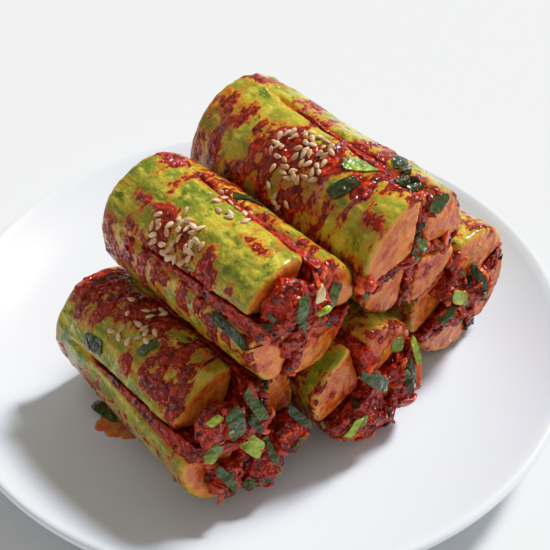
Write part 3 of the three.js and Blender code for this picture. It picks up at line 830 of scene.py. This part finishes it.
leafTones = {"deep": (0.014, 0.034, 0.006), "dark": (0.055, 0.10, 0.018), "dull": (0.11, 0.18, 0.055),
             "fresh": (0.38, 0.50, 0.035), "stain": (0.30, 0.03, 0.006)}
shredTones = {"deep": (0.32, 0.012, 0.005), "red": (0.70, 0.10, 0.016), "orange": (0.84, 0.30, 0.07),
              "stain": (0.46, 0.03, 0.008), "radish": (0.86, 0.70, 0.36)}


def addLeafModel(thickness, rounded=False):
    # its ends are narrower and cut at a slant
    bpy.ops.mesh.primitive_grid_add(x_subdivisions=leaf["columns"], y_subdivisions=leaf["rows"], size=1)
    model = bpy.context.object

    def move(co, normal):
        return Vector((co.x * (1 - leaf["taper"] * (2 * co.y) ** 8), co.y + leaf["slant"] * co.x, 0))

    reshape(model, move)
    modify(model, "SOLIDIFY", thickness=thickness, offset=0)
    if rounded:
        modify(model, "SUBSURF", levels=1)
    return model


def leafOf(model, tone, matrix, length, width, curl, twist, folds):
    # a bent, twisted copy of the model, its length along the matrix's Y
    piece = copyOf(model, asItIs)
    phase = dice.uniform(0, 6)
    fold = leaf["fold"] * dice.uniform(-0.3, 1) if folds else 0

    def move(co, normal):
        wave = leaf["wave"] * math.sin(7 * co.y + phase)
        lift = curl * (1 - (2 * co.y) ** 2) + wave - fold * abs(co.x) * width
        turn = Matrix.Rotation(math.radians(twist * co.y), 3, "Y")
        return matrix @ (turn @ Vector((co.x * width, co.y * length, co.z)) + Vector((0, 0, lift)))

    reshape(piece, move)
    tint(piece, tone)
    return piece


def basisOf(along, facing, place):
    turn = Matrix((along.cross(facing), along, facing)).transposed()
    return Matrix.Translation(place) @ turn.to_4x4()


def rayFrom(x, z):
    # straight back from in front of a section
    return Vector((x, stuffing["raysFrom"], z)), Vector((0, 1, 0))


def cutEndStrip(section, values):
    kind, start, end, width = values

    def depthAt(x, z):
        # how far back the cut end lies, or None where the ray misses it
        hits = [tree.ray_cast(*rayFrom(x, z))[0] for tree in (section["paste"], section["skin"])]
        return min((hit.y for hit in hits if hit), default=None)

    middle = depthAt((start[0] + end[0]) / 2, (start[1] + end[1]) / 2)
    ends = [depthAt(*point) for point in (start, end)]
    middle = next(depth for depth in (middle, *ends) if depth is not None)
    steep = leaf["steepest"]
    ends = [min(middle + steep, max(middle - steep, middle if depth is None else depth)) for depth in ends]
    first, last = (Vector((x, depth, z)) for (x, z), depth in zip((start, end), ends))
    centre = (first + last) / 2
    centre.y = min(middle, centre.y) - leaf["stripLift"]
    along = (last - first).normalized()
    facing = Vector(leaf["facing"])
    facing = (facing - along * facing.dot(along)).normalized()
    matrix = section["placement"] @ basisOf(along, facing, centre)
    model = rootModel if kind in sticks else leafModel
    return leafOf(model, stripTones[kind], matrix, (last - first).length, width, leaf["curl"],
                  eitherWay(leaf["twist"]), folds=model is leafModel)


def skinSpot(section, behind, around):
    # on the skin, beside a cut where the angle falls into one
    behind = min(section["length"] - 1, max(1 + min(section["setBack"]), behind))
    for aside in cucumber["cutSearch"]:
        outwards = across(around + aside)
        start = Vector((0, behind, 0)) + cucumber["outside"] * outwards
        spot, normal, _, _ = section["skin"].ray_cast(start, -outwards)
        if spot and spot.dot(outwards) > cucumber["leastSkin"] * radiusAt(section, behind):
            break
    return spot, normal


def skinLeaf(section, values):
    # follows the skin, each corner set down on it by itself
    kind, behind, around, turn, length, width = values
    piece = copyOf(leafModel, asItIs)
    angle = math.radians(turn)
    perMm = math.degrees(1 / radiusAt(section, behind))

    def move(co, normal):
        x = co.x * width
        y = co.y * length
        ahead = behind + y * math.cos(angle) + x * math.sin(angle)
        aside = around + (x * math.cos(angle) - y * math.sin(angle)) * perMm
        spot, up = skinSpot(section, ahead, aside)
        lift = leaf["skinLift"] + leaf["skinWave"] * math.sin(3 * co.y + behind) ** 2 + co.z
        return section["placement"] @ (spot + up * lift)

    reshape(piece, move)
    tint(piece, stripTones[kind])
    return piece


def pasteSpots(section, count):
    # places drawn on the front of the paste, with the way it faces there
    spots = []
    while len(spots) < count:
        outwards = across(dice.uniform(0, 360))
        aim = outwards * (stuffing["reach"] * math.sqrt(dice.random()))
        ray = rayFrom(aim.x, aim.z)
        spot, normal, _, _ = section["paste"].ray_cast(*ray)
        blocked = section["skin"].ray_cast(*ray)[0]
        if spot and spot.y < stuffing["deepest"] and (blocked is None or blocked.y > spot.y):
            spots.append((spot, normal))
    return spots


def strewn(section, spot, normal, model, sizes):
    # a scrap of leaf that lies on the paste, or a stick of root half sunk in it
    length = dice.uniform(*sizes["length"])
    width = min(leaf["squarest"] * length, dice.uniform(*sizes["width"]))
    facing = (normal + anyVector(sizes["tilt"])).normalized()
    along = facing.cross(anyVector(1)).normalized()
    matrix = section["placement"] @ basisOf(along, facing, spot - facing * sizes["sunk"])
    isLeaf = model is leafModel
    tone = dice.choice(sizes["tones"]) if isLeaf else dice.uniform(0, 0.5) ** 1.3
    return leafOf(model, tone, matrix, length, width, sizes["curl"], eitherWay(sizes["twist"]), isLeaf)


def leafFinish():
    green = Finish("chiveLeaf")
    place = green.place()
    tone = green.attribute("tone") + 0.7 * (green.grain(place, 3, 4, 0.6) - 0.5)
    color = green.mix(green.step(tone, 0.0, 0.35), leafTones["deep"], leafTones["dark"])
    color = green.mix(green.step(tone, 0.35, 0.6), color, leafTones["dull"])
    color = green.mix(green.step(tone, 0.6, 0.95), color, leafTones["fresh"])
    color = green.mix(green.patches(place, 2, (0.5, 0.75), 4, 0.7) * 0.7, color, leafTones["stain"])
    veins = green.bump(green.grain(green.stretch(place, (1, 1, 0.3)), 0.5, 2), 0.00015)
    crumple = green.bump(green.grain(place, 2, 1), 0.0014, veins)
    return green.surface(color=color, roughness=0.16, normal=crumple, specular=0.4)


def shredFinish():
    root = Finish("rootShred")
    place = root.place()
    tone = root.attribute("tone")
    color = root.mix(root.step(tone, 0, 0.3), shredTones["deep"], shredTones["red"])
    color = root.mix(root.step(tone, 0.3, 0.55), color, shredTones["orange"])
    color = root.mix(root.patches(place, 1.8, (0.46, 0.64), 4, 0.65), color, shredTones["stain"])
    color = root.mix(root.step(tone, 0.8, 0.95), color, shredTones["radish"])
    fine = root.bump(root.grain(place, 0.8, 3), 0.0003)
    return root.surface(color=color, roughness=0.2, normal=fine, specular=0.35, soft=0.15,
                        softRadius=(1.0, 0.4, 0.15), softScale=0.002)


leafModel = addLeafModel(leaf["thickness"])
rootModel = addLeafModel(leaf["rootThickness"], rounded=True)
leaves = []
shreds = []
for section in sections.values():
    for values in section["strips"]:
        heap = shreds if values[0] in sticks else leaves
        heap.append(cutEndStrip(section, values))
    leaves += [skinLeaf(section, values) for values in section["leaves"]]
    for heap, model, sizes in ((leaves, leafModel, scraps), (shreds, rootModel, sunkSticks)):
        spots = pasteSpots(section, sizes["count"])
        heap += [strewn(section, *spot, model, sizes) for spot in spots]
bpy.data.objects.remove(leafModel)
bpy.data.objects.remove(rootModel)
chiveFinish = leafFinish()
heaps = ((leaves, "chiveLeaves", chiveFinish, "chive"), (shreds, "rootShreds", shredFinish(), "stuffing"))
for pieces, name, finish, slot in heaps:
    piece = join(pieces, name)
    bpy.ops.object.shade_smooth_by_angle(angle=math.radians(leaf["smoothUnder"]))
    dress(piece, finish, slot)
print("leaves and shreds laid")

# Sesame, patches of it on the skin, flakes of chilli on skin and paste, and a bright lump of paste
# between the two upper sections

sesame = {"length": 3.0, "width": 1.6, "height": 1.0, "blunt": 0.4, "lift": 0.4, "tilt": 0.45,
          "spacing": 1.6, "tries": 40, "tones": (0, 1), "dark": (0.60, 0.33, 0.17),
          "light": (0.84, 0.62, 0.39), "stain": (0.50, 0.20, 0.07)}
flake = {"perSection": 80, "onPaste": 45, "tries": 8, "around": (-125, 80), "leastPaste": 0.45,
         "chance": 0.25, "size": (0.4, 1.2), "narrow": (0.5, 0.9), "thinness": 0.3, "tilt": 0.35,
         "bumps": 0.35, "tones": (0, 1), "dark": (0.12, 0.005, 0.003), "red": (0.46, 0.018, 0.005),
         "bright": (0.85, 0.13, 0.02)}
lump = {"section": "upper_right", "behind": 1, "around": -86, "lift": 0.8, "clots": 14, "spread": 1.6,
        "size": (0.9, 1.7), "tilt": 0.6, "tones": (0.8, 1)}


def addSeedModel():
    bpy.ops.mesh.primitive_uv_sphere_add(segments=9, ring_count=7, radius=0.5, rotation=(math.pi / 2, 0, 0))
    bpy.ops.object.transform_apply(rotation=True)
    model = bpy.context.object

    def move(co, normal):
        taper = 1 - sesame["blunt"] * (2 * co.y + 0.4 * (2 * co.y) ** 2)
        height = co.z * sesame["height"] * min(1, taper)
        return Vector((co.x * sesame["width"] * taper, co.y * sesame["length"], height))

    reshape(model, move)
    return model


def laid(model, section, spot, normal, kind, shape=asItIs):
    # a copy of the model on a surface, turned, tilted and toned at random
    facing = (normal + anyVector(kind["tilt"])).normalized()
    aside = facing.orthogonal().normalized()
    basis = Matrix((aside, facing.cross(aside), facing)).transposed()
    turn = (basis @ Matrix.Rotation(dice.uniform(0, 6.28), 3, "Z")).to_4x4()
    piece = copyOf(model, section["placement"] @ (Matrix.Translation(spot) @ turn @ shape))
    tint(piece, dice.uniform(*kind["tones"]))
    return piece


def seedsOf(section, patch):
    behind, around, halfLength, halfAngle, count = patch
    pieces = []
    places = []
    for _ in range(sesame["tries"] * count):
        bearing = dice.uniform(0, 2 * math.pi)
        share = math.sqrt(dice.random())
        spot, normal = skinSpot(section, behind + halfLength * share * math.cos(bearing),
                                around + halfAngle * share * math.sin(bearing))
        if spot is None or len(pieces) == count:
            continue
        if any((spot - taken).length < sesame["spacing"] for taken in places):
            continue
        places.append(spot)
        pieces.append(laid(seedModel, section, spot + normal * sesame["lift"], normal, sesame))
    return pieces


def flakeOf(section, spot, normal):
    size = mostlySmall(*flake["size"])
    width = size * dice.uniform(*flake["narrow"])
    shape = Matrix.Diagonal((size, width, size * flake["thinness"], 1))
    return laid(flakeModel, section, spot, normal, flake, shape)


def flakesOf(section):
    pieces = [flakeOf(section, *spot) for spot in pasteSpots(section, flake["onPaste"])]
    for _ in range(flake["tries"] * flake["perSection"]):
        behind = dice.uniform(1, section["length"] - 2)
        around = dice.uniform(*flake["around"])
        spot, normal = skinSpot(section, behind, around)
        smear = smearAt(section, math.radians(around), behind)
        wish = flake["leastPaste"] - smear + flake["chance"] * dice.random()
        if spot and wish < 0.5 and len(pieces) < flake["perSection"] + flake["onPaste"]:
            pieces.append(flakeOf(section, spot, normal))
    return pieces


def clotsOfLump():
    section = sections[lump["section"]]
    spot, normal = skinSpot(section, lump["behind"], lump["around"])
    middle = spot + lump["lift"] * Vector((normal.x, -1, normal.z))
    pieces = []
    for _ in range(lump["clots"]):
        shift = anyVector(1) * lump["spread"]
        shape = Matrix.Scale(dice.uniform(*lump["size"]), 4)
        pieces.append(laid(flakeModel, section, middle + shift, normal, lump, shape))
    return pieces


def sesameFinish():
    seed = Finish("toastedSesame")
    color = seed.mix(seed.attribute("tone"), sesame["dark"], sesame["light"])
    color = seed.mix(seed.patches(seed.place(), 2.2, (0.5, 0.72), 3) * 0.5, color, sesame["stain"])
    return seed.surface(color=color, roughness=0.3, specular=0.5, soft=0.2, softRadius=(1.0, 0.6, 0.3),
                        softScale=0.001)


def flakeFinish():
    chilli = Finish("chilliFlake")
    tone = chilli.attribute("tone")
    color = chilli.mix(chilli.step(tone, 0.1, 0.6), flake["dark"], flake["red"])
    color = chilli.mix(chilli.step(tone, 0.75, 1), color, flake["bright"])
    return chilli.surface(color=color, roughness=0.2, specular=0.4)


seedModel = addSeedModel()
bpy.ops.mesh.primitive_ico_sphere_add(subdivisions=2, radius=1)
flakeModel = bpy.context.object
reshape(flakeModel, lambda co, normal: co * (1 + flake["bumps"] * noise.noise(3 * co + Vector((4, 2, 7)))))
seeds = []
for section in sections.values():
    for patch in section["sesame"]:
        seeds += seedsOf(section, patch)
flakes = []
for section in sections.values():
    flakes += flakesOf(section)
flakes += clotsOfLump()
bpy.data.objects.remove(seedModel)
bpy.data.objects.remove(flakeModel)
heaps = ((seeds, "sesameSeeds", sesameFinish(), "cucumber"),
         (flakes, "chilliFlakes", flakeFinish(), "stuffing"))
for pieces, name, finish, slot in heaps:
    piece = join(pieces, name)
    bpy.ops.object.shade_smooth()
    dress(piece, finish, slot)
print("sesame and flakes strewn")

# On the plate: the loose scrap of chive and the juice that ran out beside it. A drop is (x, y, radius).

loose = {"middle": (-53.8, 9.0), "turn": 14, "length": 9.4, "width": 4.4, "height": 7.75, "curl": 0.7,
         "twist": 25}
juice = {"drops": [(-55.5, 2.2, 3.4), (-57.6, 5.6, 2.2), (-53.4, -1.9, 2.6), (-54.6, 6.2, 2.6),
                   (-53.6, -24.5, 0.7)],
         "height": 7.05, "thickness": 0.42, "stretch": 1.15, "voxel": 0.16, "ragged": 0.8,
         "raggedSize": 1.7, "thin": (0.78, 0.30, 0.05), "thick": (0.72, 0.13, 0.02)}


def addLooseChive():
    model = addLeafModel(leaf["thickness"])
    matrix = toMetres @ Matrix.Translation((*loose["middle"], loose["height"]))
    matrix = matrix @ Matrix.Rotation(math.radians(loose["turn"]), 4, "Z")
    piece = leafOf(model, stripTones["dull"], matrix, loose["length"], loose["width"], loose["curl"],
                   loose["twist"], folds=False)
    bpy.data.objects.remove(model)
    pickObject(piece)
    bpy.ops.object.shade_smooth_by_angle(angle=math.radians(leaf["smoothUnder"]))
    piece.name = piece.data.name = "looseChive"
    return piece


def addJuice():
    # flat drops that run into each other
    drops = []
    for x, y, radius in juice["drops"]:
        middle = (x, y, juice["height"])
        bpy.ops.mesh.primitive_uv_sphere_add(segments=32, ring_count=12, radius=1, location=middle)
        drop = bpy.context.object
        drop.scale = (radius, radius * juice["stretch"], juice["thickness"])
        bpy.ops.object.transform_apply(location=True, scale=True)
        drops.append(drop)
    piece = join(drops, "juice")
    weld(piece, juice["voxel"], 3)

    def move(co, normal):
        flat = Vector((normal.x, normal.y, 0))
        return co + flat * juice["ragged"] * noise.noise(co / juice["raggedSize"])

    reshape(piece, move)
    bpy.ops.object.shade_smooth()
    piece.data.transform(toMetres)
    return piece


def juiceFinish():
    wet = Finish("chilliJuice")
    color = wet.mix(wet.patches(wet.place(), 2.2, (0.4, 0.62), 3), juice["thin"], juice["thick"])
    return wet.surface(color=color, roughness=0.12, specular=0.5, alpha=0.85, coat=0.4, coatRoughness=0.03)


dress(addLooseChive(), chiveFinish, "chive", "chive_scrap")
dress(addJuice(), juiceFinish(), "stuffing")
print("plate garnished")
